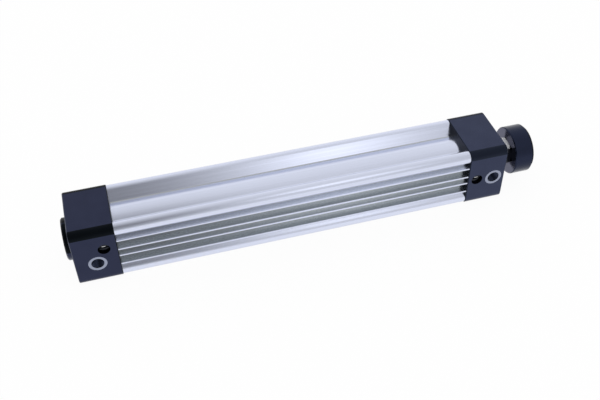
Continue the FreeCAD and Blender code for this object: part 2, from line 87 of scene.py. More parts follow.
# The floor is white paper, which keeps a faint shadow of the cylinder.
# The camera and the reflections see most of it as plain white, so it meets the white behind without a line.
floor_half_side = 1.5
floor_share_white = 0.95
paper_fibre_scale = 900.0
paper_fibre_detail = 3.0
paper_tones = (0.88, 0.92)


def node_tree(owner):
    """The emptied node tree of a material or a world."""
    owner.use_nodes = True
    owner.node_tree.nodes.clear()
    return owner.node_tree


def node(tree, kind, inputs=(), **settings):
    """A new node with its settings, whose inputs are linked to sockets or set to values."""
    made = tree.nodes.new(kind)
    for name, value in settings.items():
        setattr(made, name, value)
    for name, value in dict(inputs).items():
        if isinstance(value, bpy.types.NodeSocket):
            tree.links.new(value, made.inputs[name])
        else:
            made.inputs[name].default_value = value
    return made


def maths(tree, operation, a, b=0.0):
    """The result of a sum, a square root or another operation on one or two values."""
    return node(tree, "ShaderNodeMath", {0: a, 1: b}, operation=operation).outputs[0]


def product(tree, first, *others):
    """Values or masks multiplied together."""
    for other in others:
        first = maths(tree, "MULTIPLY", first, other)
    return first


def ramp(tree, value, start, end, low=0.0, high=1.0):
    """A value that goes evenly from low at start to high at end, and stays there beyond."""
    return node(tree, "ShaderNodeMapRange", {"Value": value, "From Min": start, "From Max": end,
                                             "To Min": low, "To Max": high}).outputs[0]


paper = bpy.data.materials.new("white_paper")
tree = node_tree(paper)
path = node(tree, "ShaderNodeLightPath").outputs
seen = maths(tree, "MAXIMUM", path["Is Camera Ray"], path["Is Transmission Ray"])
seen = maths(tree, "MAXIMUM", seen, path["Is Glossy Ray"])
fibres = node(tree, "ShaderNodeTexNoise", {"Scale": paper_fibre_scale, "Detail": paper_fibre_detail})
paper_tone = ramp(tree, fibres.outputs["Fac"], 0.0, 1.0, *paper_tones)
lit = node(tree, "ShaderNodeBsdfDiffuse", {"Color": paper_tone})
white = node(tree, "ShaderNodeEmission", {"Color": (1, 1, 1, 1), "Strength": 1.0})
share = product(tree, seen, floor_share_white)
both = node(tree, "ShaderNodeMixShader", {0: share, 1: lit.outputs[0], 2: white.outputs[0]})
node(tree, "ShaderNodeOutputMaterial", {"Surface": both.outputs[0]})

corners = np.array(((-1, -1, 0), (1, -1, 0), (1, 1, 0), (-1, 1, 0))) * floor_half_side
corners = corners + (0, 0, cad_low.z)
floor_mesh = bpy.data.meshes.new("floor")
floor_mesh.from_pydata(corners.tolist(), [], [(0, 1, 2, 3)])
floor_mesh.materials.append(paper)
floor = bpy.data.objects.new("floor", floor_mesh)
scene.collection.objects.link(floor)


# The light is a white tent that fades to a dim gap where the camera looks in, with one soft lamp beside it.
# Matt colours get the tent's even light, and polished faces show the gap and the lamp.
tent_level = 1.0
gap_depth = 0.76
far_gap_depth = 0.38
gap_side = 0.0
gap_far_side = 0.13
gap_height = math.radians(49.0)
gap_spread = math.radians(62.0)
lamp_height = math.radians(54.0)
lamp_spread = math.radians(18.0)
lamp_side = 0.235
lamp_side_spread = 0.085
lamp_level = 0.97


def split(tree, vector):
    """The X, Y and Z parts of a vector."""
    return node(tree, "ShaderNodeSeparateXYZ", {"Vector": vector}).outputs


def hill(tree, value, middle, spread):
    """The exponent of a bell curve: minus the square of the distance from its middle, in spreads."""
    away = maths(tree, "DIVIDE", maths(tree, "SUBTRACT", value, middle), spread)
    return product(tree, away, away, -1.0)


world = bpy.data.worlds.new("tent")
scene.world = world
tree = node_tree(world)
sky = split(tree, node(tree, "ShaderNodeTexCoord").outputs["Generated"])
height = maths(tree, "ARCTAN2", sky["Z"], product(tree, sky["Y"], -1.0))
gap = maths(tree, "EXPONENT", hill(tree, height, gap_height, gap_spread))
depth = ramp(tree, sky["X"], gap_side, gap_far_side, gap_depth, far_gap_depth)
tent = maths(tree, "SUBTRACT", tent_level, product(tree, gap, depth))
lamp = maths(tree, "ADD", hill(tree, height, lamp_height, lamp_spread),
             hill(tree, sky["X"], lamp_side, lamp_side_spread))
lamp = product(tree, maths(tree, "EXPONENT", lamp), lamp_level)
path = node(tree, "ShaderNodeLightPath").outputs
polished = node(tree, "ShaderNodeMix", {0: path["Is Glossy Ray"], 2: tent_level,
                                        3: maths(tree, "ADD", tent, lamp)}).outputs[0]
light = node(tree, "ShaderNodeBackground", {"Color": (1, 1, 1, 1), "Strength": polished})
node(tree, "ShaderNodeOutputWorld", {"Surface": light.outputs[0]})


# The barrel is the cylinder's tube, one aluminium extrusion anodised silver and held between the caps.
# The die leaves fine lines along it, and the grooves between the ribs are painted greyer, the inner ones
# darker, as painted shade.
# In the back's valleys, where the corner lobes meet the tube, a thin line of painted shade lies in the
# crease, beside a painted highlight on the tube.
barrel_colour = (0.70, 0.74, 0.89)
barrel_tones = (0.96, 1.03)
barrel_roughness = (0.17, 0.25)
barrel_brushing = 0.8
die_line_width = 0.00022
die_line_run = 0.12
die_line_relief = 0.00001
broad_line_scale = 0.09
tube_radius = 0.0187
tube_normals = (0.6, 0.9)
# The grooves' colours are painted shade, darker in the inner grooves than in the outer ones.
groove_shade_colour = (0.57, 0.60, 0.63)
groove_half_height = 0.0150
groove_front = -0.0229
groove_floor = -0.0165
groove_slant = (0.2, 0.35)
outer_groove_shade_colour = (0.77, 0.79, 0.81)
outer_groove_z = 0.0112
valley_angle = math.radians(30.75)
# The valley's thin line is painted shade, and the paler band beside it is a painted highlight.
valley_shade_colour = (0.50, 0.52, 0.55)
valley_shade_reach = 0.0008
valley_highlight_colour = (0.82, 0.85, 0.94)
valley_highlight_reach = 0.0046
noise_middle = (0.3, 0.7)


def effect(name, inputs, outputs):
    """A new shader group with named inputs and outputs, and the sockets at its two ends. An input that
    starts as None is a vector, and one that starts as a number is a value."""
    group = bpy.data.node_groups.new(name, "ShaderNodeTree")
    for socket, start in inputs.items():
        kind = "NodeSocketVector" if start is None else "NodeSocketFloat"
        made = group.interface.new_socket(socket, in_out="INPUT", socket_type=kind)
        if start is not None:
            made.default_value = start
    for socket in outputs:
        group.interface.new_socket(socket, in_out="OUTPUT", socket_type="NodeSocketFloat")
    return group, node(group, "NodeGroupInput").outputs, node(group, "NodeGroupOutput").inputs


def noise(tree, place, scale, detail):
    """A soft random pattern over a place."""
    made = node(tree, "ShaderNodeTexNoise", {"Vector": place, "Scale": scale, "Detail": detail})
    return made.outputs["Fac"]


def stretched(tree, place, scales):
    """A place whose X, Y and Z are each multiplied by a scale of their own."""
    return node(tree, "ShaderNodeVectorMath", {0: place, 1: scales}, operation="MULTIPLY").outputs[0]


die_lines, given, result = effect("die_lines", {"Place": None, "Width": 0.0002, "Run": 0.1},
                                  ("Fine", "Broad"))
along = maths(die_lines, "DIVIDE", 1.0, given["Run"])
across = maths(die_lines, "DIVIDE", 1.0, given["Width"])
scales = node(die_lines, "ShaderNodeCombineXYZ", {"X": along, "Y": across, "Z": across}).outputs[0]
drawn = stretched(die_lines, given["Place"], scales)
die_lines.links.new(noise(die_lines, drawn, scale=1.0, detail=3.0), result["Fine"])
die_lines.links.new(noise(die_lines, drawn, scale=broad_line_scale, detail=2.0), result["Broad"])


def use(tree, group, **inputs):
    """The outputs of a shader group put into a material."""
    return node(tree, "ShaderNodeGroup", inputs, node_tree=group).outputs


def blend(tree, share, first, second):
    """A colour that goes from the first to the second as the share rises."""
    first = (*first, 1) if isinstance(first, tuple) else first
    second = (*second, 1) if isinstance(second, tuple) else second
    return node(tree, "ShaderNodeMix", {0: share, 6: first, 7: second}, data_type="RGBA").outputs[2]


def shade(tree, colour, amount):
    """A colour made lighter or darker by an amount."""
    return node(tree, "ShaderNodeVectorMath", {0: colour, "Scale": amount}, operation="SCALE").outputs[0]


def vary(tree, pattern, low, high):
    """A value that goes from low to high over the middle of a noise, where nearly all of it lies."""
    return ramp(tree, pattern, *noise_middle, low, high)


def edge(tree, value, place, width):
    """A mask with a soft edge: 0 at a place and 1 past its width, which is negative for the side below."""
    return ramp(tree, value, place, place + width)


def hypotenuse(tree, a, b):
    """The distance that two steps at right angles make: the root of the sum of their squares."""
    return maths(tree, "SQRT", maths(tree, "ADD", product(tree, a, a), product(tree, b, b)))


def material(name):
    """A new material, its node tree and the place on the piece."""
    made = bpy.data.materials.new(name)
    tree = node_tree(made)
    return made, tree, node(tree, "ShaderNodeTexCoord").outputs


def surface(tree, colour, roughness, height, relief, **more):
    """Ends a material with its shader; relief is the height of its roughest bumps in metres."""
    bump = node(tree, "ShaderNodeBump", {"Strength": 0.5, "Distance": relief, "Height": height})
    inputs = {"Base Color": colour, "Roughness": roughness, "Normal": bump.outputs[0]}
    inputs.update({name.replace("_", " "): value for name, value in more.items()})
    shader = node(tree, "ShaderNodeBsdfPrincipled", inputs)
    node(tree, "ShaderNodeOutputMaterial", {"Surface": shader.outputs[0]})


def dress(finish, *names):
    """Gives CAD nodes their finish."""
    for name in names:
        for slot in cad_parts[name].material_slots:
            slot.material = finish


def in_grooves(tree, spot, facing, height):
    """A mask of what lies between the ribs: soft edges at the grooves' height, front and floor multiplied
    together, without the slanting faces, whose normals point along both Y and Z."""
    slant = maths(tree, "ABSOLUTE", product(tree, facing["Y"], facing["Z"]))
    return product(tree, edge(tree, height, groove_half_height, width=-0.0003),
                   edge(tree, spot["Y"], groove_front, width=0.0004),
                   edge(tree, spot["Y"], groove_floor, width=-0.001),
                   ramp(tree, slant, *groove_slant, 1.0, 0.0))


def from_valleys(tree, aside, height):
    """The distance to the nearest valley. Each lies on the tube, at the valley angle from the flat side
    beside it, so the larger of a place's two distances from the axis is compared with the radius times
    the angle's cosine, and the smaller with the radius times its sine."""
    larger = maths(tree, "MAXIMUM", aside, height)
    smaller = maths(tree, "MINIMUM", aside, height)
    return hypotenuse(tree, maths(tree, "SUBTRACT", larger, tube_radius * math.cos(valley_angle)),
                      maths(tree, "SUBTRACT", smaller, tube_radius * math.sin(valley_angle)))


def on_the_tube(tree, place):
    """A mask of the round tube, where the normal points straight away from the axis: the normal times the
    place comes to the tube's radius there, and to a small share of it on the lobes' sides."""
    outward = node(tree, "ShaderNodeVectorMath", {0: place["Normal"], 1: place["Object"]},
                   operation="DOT_PRODUCT")
    share = maths(tree, "DIVIDE", outward.outputs["Value"], tube_radius)
    return ramp(tree, share, *tube_normals)


def barrel_finish():
    """Silver anodising with die lines, painted shade in the grooves, and the painted shade line and the
    painted highlight of the back valleys.
    """
    made, tree, place = material("silver_anodised")
    lines = use(tree, die_lines, Place=place["Object"], Width=die_line_width, Run=die_line_run)
    spot = split(tree, place["Object"])
    aside = maths(tree, "ABSOLUTE", spot["Y"])
    height = maths(tree, "ABSOLUTE", spot["Z"])
    at_back = edge(tree, spot["Y"], 0.0, width=0.001)
    distance = from_valleys(tree, aside, height)
    # A painted highlight on the tube beside each back valley.
    beside = product(tree, at_back, edge(tree, distance, valley_highlight_reach, width=-0.0025),
                     on_the_tube(tree, place))
    # A thin line of painted shade in each back valley's crease.
    painted_valley_shade = product(tree, at_back, edge(tree, distance, valley_shade_reach, width=-0.0003))
    # The grooves between the ribs are painted darker, as painted shade.
    outer = edge(tree, height, outer_groove_z, width=0.0002)
    ground = blend(tree, outer, groove_shade_colour, outer_groove_shade_colour)
    colour = blend(tree, beside, barrel_colour, valley_highlight_colour)
    colour = blend(tree, painted_valley_shade, colour, valley_shade_colour)
    colour = blend(tree, in_grooves(tree, spot, split(tree, place["Normal"]), height), colour, ground)
    colour = shade(tree, colour, vary(tree, lines["Broad"], *barrel_tones))
    round_the_axis = node(tree, "ShaderNodeTangent", direction_type="RADIAL", axis="X").outputs[0]
    surface(tree, colour, vary(tree, lines["Fine"], *barrel_roughness), lines["Fine"], die_line_relief,
            Metallic=1.0, Anisotropic=barrel_brushing, Tangent=round_the_axis)
    return made


dress(barrel_finish(), "barrel")


# The caps are cut from bar and anodised black, and four screws hold each to the barrel's end.
# Their rounded upper edges and inner faces are rougher than the rest and painted darker, as painted shade.
# The rear cap's blacks are painted darker than the front's, as painted shade. Handling has rubbed the
# chamfers of the outer ends. The face round each port is turned bare, and the inside of the port's hole is
# painted dark, as painted shade.
# The rear cap's colours are painted darker than the front's, as painted shade.
cap_colours_with_painted_shade = {"rear": (0.0295, 0.0347, 0.067), "front": (0.039, 0.047, 0.0865)}
# Colours of painted shade on the rounded upper edges and inner faces, the rear's darker.
cap_shade_colours = {"rear": (0.0070, 0.0090, 0.0120), "front": (0.018, 0.023, 0.039)}
cap_rubbed_colour = (0.07, 0.08, 0.11)
cap_tones = (0.94, 1.06)
cap_roughness = (0.20, 0.28)
cap_dull_roughness = 0.22
cap_relief = 0.000004
cap_rounded_normals = (0.01, 0.06)
cap_inward_normals = (0.3, 0.6)
cap_chamfer = 0.0008
cap_outer_ends = {"rear": 0.0, "front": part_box("front_cap")[1].x}
inner_sides = {"rear": 1.0, "front": -1.0}
port_from_end = {"rear": 0.0152, "front": 0.0087}
port_z = {"rear": -0.0056, "front": -0.0012}
port_seat_depth = 0.0001
port_places = {end: (cap_outer_ends[end] + inner_sides[end] * port_from_end[end],
                     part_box(end + "_cap")[0].y + port_seat_depth, port_z[end]) for end in ("rear", "front")}
# The inside of each port's hole is painted dark, as painted shade.
port_hole_shade_colour = (0.010, 0.014, 0.026)
port_hole_outer = 0.00460
port_hole_start = 0.0001
port_hole_end = 0.0105
port_ring_colour = (0.32, 0.35, 0.45)
port_ring_roughness = 0.15
port_ring_inner = 0.00430
port_ring_outer = 0.00640
port_ring_depth = 0.00027
port_ring_normals = (-0.5, -0.6)
port_ring_feed = 0.00024166
cloud_scale = 90.0
chamfer_slant = (0.6, 0.95)
wear_patches = (0.35, 0.65)
wear_between_patches = 0.3

grit, given, result = effect("grit", {"Place": None, "Grain": 0.0002}, ("Fine", "Cloud"))
grains = maths(grit, "DIVIDE", 1.0, given["Grain"])
grit.links.new(noise(grit, given["Place"], scale=grains, detail=2.0), result["Fine"])
grit.links.new(noise(grit, given["Place"], scale=cloud_scale, detail=4.0), result["Cloud"])

# A chamfer's normal points both along the cylinder and across it, so twice the product of the two parts
# comes near 1 there, and to nothing on faces and sides.
chamfer_wear, given, result = effect("chamfer_wear", {"Normal": None, "Cloud": 0.5}, ("Wear",))
endwise = maths(chamfer_wear, "ABSOLUTE", split(chamfer_wear, given["Normal"])["X"])
outward = maths(chamfer_wear, "SUBTRACT", 1.0, product(chamfer_wear, endwise, endwise))
outward = maths(chamfer_wear, "SQRT", outward)
chamfer = ramp(chamfer_wear, product(chamfer_wear, endwise, outward, 2.0), *chamfer_slant)
patches = ramp(chamfer_wear, given["Cloud"], *wear_patches, wear_between_patches, 1.0)
chamfer_wear.links.new(product(chamfer_wear, chamfer, patches), result["Wear"])


def cap_finish(end):
    """Black anodising, with masks for the rougher faces painted darker as painted shade, the rubbed chamfer,
    the port's hole painted dark inside as painted shade, and its bare ring.
    """
    made, tree, place = material(end + "_cap_black")
    specks = use(tree, grit, Place=place["Object"], Grain=0.0002)
    facing = split(tree, place["Normal"])
    rounded = product(tree, maths(tree, "ABSOLUTE", facing["Y"]), facing["Z"])
    inward = product(tree, facing["X"], inner_sides[end])
    # Rounded upper edges and inner faces are rougher and painted darker, as painted shade.
    dull_and_painted_shade = maths(tree, "MAXIMUM", ramp(tree, rounded, *cap_rounded_normals),
                 ramp(tree, inward, *cap_inward_normals))
    from_end = maths(tree, "SUBTRACT", split(tree, place["Object"])["X"], cap_outer_ends[end])
    wear = use(tree, chamfer_wear, Normal=place["Normal"], Cloud=specks["Cloud"])["Wear"]
    wear = product(tree, wear, edge(tree, maths(tree, "ABSOLUTE", from_end), cap_chamfer, width=-0.0002))
    # The rear cap's blacks are painted darker than the front's, and the dull faces get painted shade.
    colour = blend(tree, dull_and_painted_shade, cap_colours_with_painted_shade[end], cap_shade_colours[end])
    colour = blend(tree, wear, colour, cap_rubbed_colour)
    colour = shade(tree, colour, vary(tree, specks["Cloud"], *cap_tones))

    from_port = node(tree, "ShaderNodeVectorMath", {0: place["Object"], 1: port_places[end]},
                     operation="SUBTRACT")
    from_port = split(tree, from_port.outputs[0])
    away = hypotenuse(tree, from_port["X"], from_port["Z"])
    # The inside of the port's hole is painted dark, as painted shade.
    port_hole_shade = product(tree, edge(tree, away, port_hole_outer, width=-0.0002),
                   edge(tree, from_port["Y"], port_hole_start, width=0.0002),
                   edge(tree, from_port["Y"], port_hole_end, width=-0.0002))
    ring = product(tree, edge(tree, away, port_ring_inner, width=0.00003),
                   edge(tree, away, port_ring_outer, width=-0.00003),
                   edge(tree, from_port["Y"], port_ring_depth, width=-0.00005),
                   ramp(tree, facing["Y"], *port_ring_normals))
    colour = blend(tree, port_hole_shade, colour, port_hole_shade_colour)
    colour = blend(tree, ring, colour, port_ring_colour)

    roughness = vary(tree, specks["Cloud"], *cap_roughness)
    roughness = maths(tree, "ADD", roughness, product(tree, ring, port_ring_roughness))
    roughness = maths(tree, "ADD", roughness, product(tree, dull_and_painted_shade, cap_dull_roughness))
    marks = maths(tree, "SINE", product(tree, away, 2 * math.pi / port_ring_feed))
    height = maths(tree, "ADD", specks["Fine"], product(tree, ring, marks))
    surface(tree, colour, roughness, height, cap_relief, Metallic=1.0)
    return made


dress(cap_finish("rear"), "rear_cap")
dress(cap_finish("front"), "front_cap")


# The port threads are fine pipe threads, which a tap cuts into the caps before they are anodised black.
# Each is one ridge that winds into the hole, its crest turned inward and its root sunk a little in the wall.
port_thread_pitch = 0.000907
port_thread_root_r = 0.004283
port_thread_depth = 0.00050
port_thread_start = 0.0006
port_thread_turns = 9
port_thread_steps = 40
port_thread_colours = ((0.020, 0.025, 0.045), (0.032, 0.040, 0.070))
thread_root_sink = 0.00002
thread_taper_turns = 0.5
thread_least_size = 0.02
thread_half_base_pitches = 0.48


def ring_faces(rings, around, closed=False):
    """The quads between each ring of points and the next, every ring joined to itself. The numbers of a
    quad's corners are ring times points around plus point; the last ring meets the first if closed."""
    i, j = np.meshgrid(np.arange(rings if closed else rings - 1), np.arange(around), indexing="ij")
    ahead = (i + 1) % rings
    beside = (j + 1) % around
    quads = (i * around + j, i * around + beside, ahead * around + beside, ahead * around + j)
    return np.stack(quads, -1).reshape(-1, 4)


def thread_ridge(axis, root_r, depth, pitch, start, turns, steps):
    """A closed ridge that winds along an axis from the origin: its three corners are the root before, the
    crest and the root after, each at the radius root_r or root_r less depth, and at a distance along the
    axis that grows by one pitch a turn. The ridge shrinks to nothing over the first and last half turn.
    Gives the points, and the quads of the sides with the triangles of both ends."""
    turn = np.linspace(0, turns, int(turns * steps) + 1)
    size = np.clip(np.minimum(turn, turns - turn) / thread_taper_turns, thread_least_size, 1.0)
    root = np.full_like(turn, root_r + thread_root_sink)
    radii = np.stack([root, root - depth * size, root], 1)
    widths = pitch * thread_half_base_pitches * size[:, None] * np.array([-1.0, 0.0, 1.0])
    shifts = start + pitch * turn[:, None] + widths
    ahead = np.array(axis, float)
    side = np.cross(ahead, (0.0, 0.0, 1.0))
    up = np.cross(side, ahead)
    angle = 2 * np.pi * turn[:, None]
    spokes = np.cos(angle) * side + np.sin(angle) * up
    points = radii[..., None] * spokes[:, None, :] + shifts[..., None] * ahead
    count = 3 * len(turn)
    ends = np.array([[2, 1, 0], [count - 3, count - 2, count - 1]])
    return points.reshape(-1, 3), [ring_faces(len(turn), 3), ends]


def repeated(points, blocks, places):
    """Copies of points and blocks of faces at several places, each copy's numbers following the last's."""
    places = np.array(places)
    firsts = np.arange(len(places))[:, None, None] * len(points)
    moved = places[:, None, :] + points
    return moved.reshape(-1, 3), [(firsts + block).reshape(-1, block.shape[1]) for block in blocks]


def added(name, points, blocks, finish, smooth):
    """A new mesh object from points and blocks of faces, with its finish, shaded smooth or flat."""
    mesh = bpy.data.meshes.new(name)
    mesh.from_pydata(points.tolist(), [], sum((block.tolist() for block in blocks), []))
    mesh.polygons.foreach_set("use_smooth", np.full(len(mesh.polygons), smooth))
    mesh.materials.append(finish)
    mesh.update()
    piece = bpy.data.objects.new(name, mesh)
    scene.collection.objects.link(piece)
    return piece


def mottled(name, grain, colours, roughness, relief, tones=(1.0, 1.0), **more):
    """A finish that clouds between two colours. Its fine specks shade it by the tones and stand up by the
    relief, and its roughness goes with the clouds."""
    made, tree, place = material(name)
    specks = use(tree, grit, Place=place["Object"], Grain=grain)
    colour = shade(tree, blend(tree, specks["Cloud"], *colours), vary(tree, specks["Fine"], *tones))
    surface(tree, colour, vary(tree, specks["Cloud"], *roughness), specks["Fine"], relief, **more)
    return made


cut_metal = mottled("thread_cut", grain=0.0001, colours=port_thread_colours, tones=(0.9, 1.1),
                    roughness=(0.22, 0.34), relief=0.000003, Metallic=1.0)
port_ridge, port_blocks = thread_ridge((0, 1, 0), port_thread_root_r, port_thread_depth, port_thread_pitch,
                                       port_thread_start, port_thread_turns, port_thread_steps)
for end, mouth in port_places.items():
    points, blocks = repeated(port_ridge, port_blocks, [mouth])
    thread = added(end + "_port_thread", points, blocks, cut_metal, smooth=False)
    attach(thread, "housing")


# The cap screws are zinc plated steel, four at each end, and hold the caps to the barrel.
# Their heads are bored and tapped to mount the cylinder, and the thread winds down each bore.
zinc_colours = ((0.62, 0.62, 0.58), (0.52, 0.53, 0.55))
screw_offset = 0.01625
screw_heads = {"rear": (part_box("rear_cap_screws")[0].x, 1.0),
               "front": (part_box("front_cap_screws")[1].x, -1.0)}
screw_thread_pitch = 0.0008
screw_thread_root_r = 0.0025
screw_thread_depth = 0.0004
screw_thread_start = 0.0009
screw_thread_turns = 9
screw_thread_steps = 32

zinc = mottled("zinc_plated", grain=0.0003, colours=zinc_colours, tones=(0.94, 1.05),
               roughness=(0.24, 0.38), relief=0.000006, Metallic=1.0)
dress(zinc, "rear_cap_screws", "front_cap_screws")
for end, (head_x, ahead) in screw_heads.items():
    ridge, blocks = thread_ridge((ahead, 0, 0), screw_thread_root_r, screw_thread_depth, screw_thread_pitch,
                                 screw_thread_start, screw_thread_turns, screw_thread_steps)
    corners = [(head_x, y * screw_offset, z * screw_offset) for y in (1, -1) for z in (1, -1)]
    points, blocks = repeated(ridge, blocks, corners)
    thread = added(end + "_mount_threads", points, blocks, zinc, smooth=False)
    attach(thread, "housing")


# The adjusting screws are turned steel, blackened and oiled, and sit in the caps beside the ports.
# Each throttles the air of its end's cushion. The upper edge of the slot has a painted highlight, as a glint.
adjuster_colours = ((0.018, 0.020, 0.024), (0.040, 0.042, 0.048))
adjuster_patches = (0.45, 0.75)
adjuster_roughness = (0.12, 0.22)
adjuster_relief = 0.000004
# The slot's glint is a painted highlight: a light colour on a small patch by the slot's upper edge.
slot_glint_colour = (0.62, 0.63, 0.64)
glint_half_length = 0.0014
glint_from = 0.00045
glint_to = 0.00115
glint_depth = 0.0003


def adjuster_finish(end):
    """Black steel, with a painted highlight on the head's top face along the upper edge of its slot."""
    low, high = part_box(end + "_cushion_screw")
    middle = (low + high) / 2
    made, tree, place = material(end + "_blackened_steel")
    specks = use(tree, grit, Place=place["Object"], Grain=0.0002)
    spot = split(tree, place["Object"])
    along = maths(tree, "ABSOLUTE", maths(tree, "SUBTRACT", spot["X"], middle.x))
    above = maths(tree, "SUBTRACT", spot["Z"], middle.z)
    # A painted highlight along the upper edge of the slot.
    painted_glint = product(tree, edge(tree, along, glint_half_length, width=-0.0003),
                   edge(tree, above, glint_from, width=0.0001), edge(tree, above, glint_to, width=-0.0002),
                   edge(tree, spot["Y"], low.y + glint_depth, width=-0.0002))
    colour = blend(tree, ramp(tree, specks["Cloud"], *adjuster_patches), *adjuster_colours)
    colour = blend(tree, painted_glint, colour, slot_glint_colour)
    surface(tree, colour, vary(tree, specks["Cloud"], *adjuster_roughness), specks["Fine"], adjuster_relief,
            Metallic=1.0)
    return made


dress(adjuster_finish("rear"), "rear_cushion_screw")
dress(adjuster_finish("front"), "front_cushion_screw")


# The rod is steel, ground and hard chromed, a hexagon with turned corners that can't turn in its bush.
# Fine grinding lines run round it.
chrome_colours = ((0.74, 0.75, 0.79), (0.68, 0.69, 0.74))
chrome_tones = (0.96, 1.04)
chrome_roughness = (0.10, 0.20)
grinding_scales = (9000.0, 300.0, 300.0)
grinding_relief = 0.000003


def rod_finish():
    """Hard chrome that clouds between two colours, with grinding lines drawn out across the rod."""
    made, tree, place = material("hard_chrome")
    specks = use(tree, grit, Place=place["Object"], Grain=0.0004)
    ground = noise(tree, stretched(tree, place["Object"], grinding_scales), scale=1.0, detail=2.0)
    colour = shade(tree, blend(tree, specks["Cloud"], *chrome_colours), vary(tree, ground, *chrome_tones))
    surface(tree, colour, vary(tree, ground, *chrome_roughness), ground, grinding_relief, Metallic=1.0)
    return made


dress(rod_finish(), "piston_rod")


# The lock nut is a steel hexagon that is screwed on the rod's thread against the head.
# It is painted nearly black, as painted shade, and its upper faces are painted bright, as a painted
# highlight. Its chamfers are rubbed.
# The nut's dark colour is painted shade, and its bright colour is a painted highlight on the upper faces.
nut_shade_colour = (0.030, 0.032, 0.040)
nut_highlight_colour = (0.93, 0.94, 0.98)
nut_highlight_from_z = 0.0078
nut_rubbed_share = 0.15
nut_tones = (0.92, 1.04)
nut_roughness = (0.16, 0.24)
nut_highlight_roughness = 0.3
nut_highlight_metal = 0.4
nut_relief = 0.000006


def nut_finish():
    """Steel painted nearly black as painted shade, with a painted highlight on the upper faces and a mask for
    the rubbed chamfers.
    """
    made, tree, place = material("nut_with_painted_highlight")
    specks = use(tree, grit, Place=place["Object"], Grain=0.0003)
    rubbed = use(tree, chamfer_wear, Normal=place["Normal"], Cloud=specks["Cloud"])["Wear"]
    # The upper faces get a painted highlight, and the rubbed chamfers are real wear.
    upper = edge(tree, split(tree, place["Object"])["Z"], nut_highlight_from_z, width=0.0006)
    highlight_and_wear = maths(tree, "MAXIMUM", upper, product(tree, rubbed, nut_rubbed_share))
    colour = blend(tree, highlight_and_wear, nut_shade_colour, nut_highlight_colour)
    colour = shade(tree, colour, vary(tree, specks["Cloud"], *nut_tones))
    roughness = vary(tree, specks["Fine"], *nut_roughness)
    roughness = maths(tree, "ADD", roughness, product(tree, upper, nut_highlight_roughness))
    metal = ramp(tree, upper, 0.0, 1.0, 1.0, nut_highlight_metal)
    surface(tree, colour, roughness, specks["Fine"], nut_relief, Metallic=metal)
    return made


dress(nut_finish(), "lock_nut")


# The head is turned from bar, anodised black and screwed on the rod's end. The tool's rings show faintly.
# Its back face is finished finer than the rest and mirrors the cap's end, and its lighter colour is painted
# light. Its front chamfer is matt.
head_colours = ((0.024, 0.030, 0.058), (0.022, 0.027, 0.052))
# The back face's lighter colour is painted light.
head_back_light_colour = (0.075, 0.078, 0.125)
head_chamfer_colour = (0.012, 0.013, 0.016)
head_tones = (0.94, 1.06)
head_roughness = (0.20, 0.30)
head_back_normals = (-0.8, -0.95)
head_back_smoothing = 0.15
head_chamfer_normals = ((0.3, 0.5), (0.95, 0.85))
head_relief = 0.000002
head_ring_share = 0.4

turned_rings, given, result = effect("turned_rings", {"Place": None, "Feed": 0.0002}, ("Rings",))
spot = split(turned_rings, given["Place"])
travel = maths(turned_rings, "ADD", hypotenuse(turned_rings, spot["Y"], spot["Z"]), spot["X"])
phase = maths(turned_rings, "DIVIDE", product(turned_rings, travel, 2 * math.pi), given["Feed"])
turned_rings.links.new(maths(turned_rings, "SINE", phase), result["Rings"])


def head_finish():
    """Black anodising with turning marks, and masks for the finer back face, which is painted lighter as
    painted light, and the matt front chamfer.
    """
    made, tree, place = material("head_black")
    specks = use(tree, grit, Place=place["Object"], Grain=0.0002)
    rings = use(tree, turned_rings, Place=place["Object"], Feed=0.00015)["Rings"]
    forward = split(tree, place["Normal"])["X"]
    back = ramp(tree, forward, *head_back_normals)
    chamfer = product(tree, *(ramp(tree, forward, *limits) for limits in head_chamfer_normals))
    colour = blend(tree, specks["Cloud"], *head_colours)
    colour = shade(tree, colour, vary(tree, specks["Fine"], *head_tones))
    # The back face is painted lighter, as painted light.
    colour = blend(tree, back, colour, head_back_light_colour)
    colour = blend(tree, chamfer, colour, head_chamfer_colour)
    roughness = vary(tree, specks["Cloud"], *head_roughness)
    roughness = maths(tree, "SUBTRACT", roughness, product(tree, back, head_back_smoothing))
    height = maths(tree, "ADD", specks["Fine"], product(tree, rings, head_ring_share))
    surface(tree, colour, roughness, height, head_relief, Metallic=maths(tree, "SUBTRACT", 1.0, chamfer),
            Specular_IOR_Level=0.0)
    return made


dress(head_finish(), "rod_head")


# The wiper is a moulded rubber ring pressed into the front cap, which keeps dirt from the rod seal.
# Its face is dished between the rim and the lip, and the lip follows the rod's hexagon.
wiper_low, wiper_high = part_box("rod_wiper")
wiper_thickness = wiper_high.x - wiper_low.x
# Each pair of the rim is a ring's distance in from the outer circle and its depth behind the face.
wiper_rim = ((0.0, wiper_thickness), (0.0, 0.0003), (0.0003, 0.0), (0.0009, 0.0))
wiper_dish_share = 0.45
wiper_dish_depth = 0.0007
# Each pair of the lip is a ring's distance out from the rod's hexagon and its depth behind the face.
wiper_lip = ((0.0005, 0.0005), (0.00015, 0.00005), (0.0, 0.0001), (0.0001, 0.0006),
             (0.0002, wiper_thickness))
wiper_points_around = 180
wiper_gap = 0.00003
rod_across_flats = 0.0122
rod_corner_r = 0.00685
rubber_colours = ((0.018, 0.018, 0.019), (0.030, 0.029, 0.028))


def hexagon_radius(angle, across_flats, corner_r):
    """The distance from the middle to a hexagon's side at each angle: half the width across flats over
    the cosine of the angle from the nearest flat's middle, and no more than the turned corners' radius."""
    from_flat = (angle + np.pi / 6) % (np.pi / 3) - np.pi / 6
    return np.minimum(across_flats / 2 / np.cos(from_flat), corner_r)


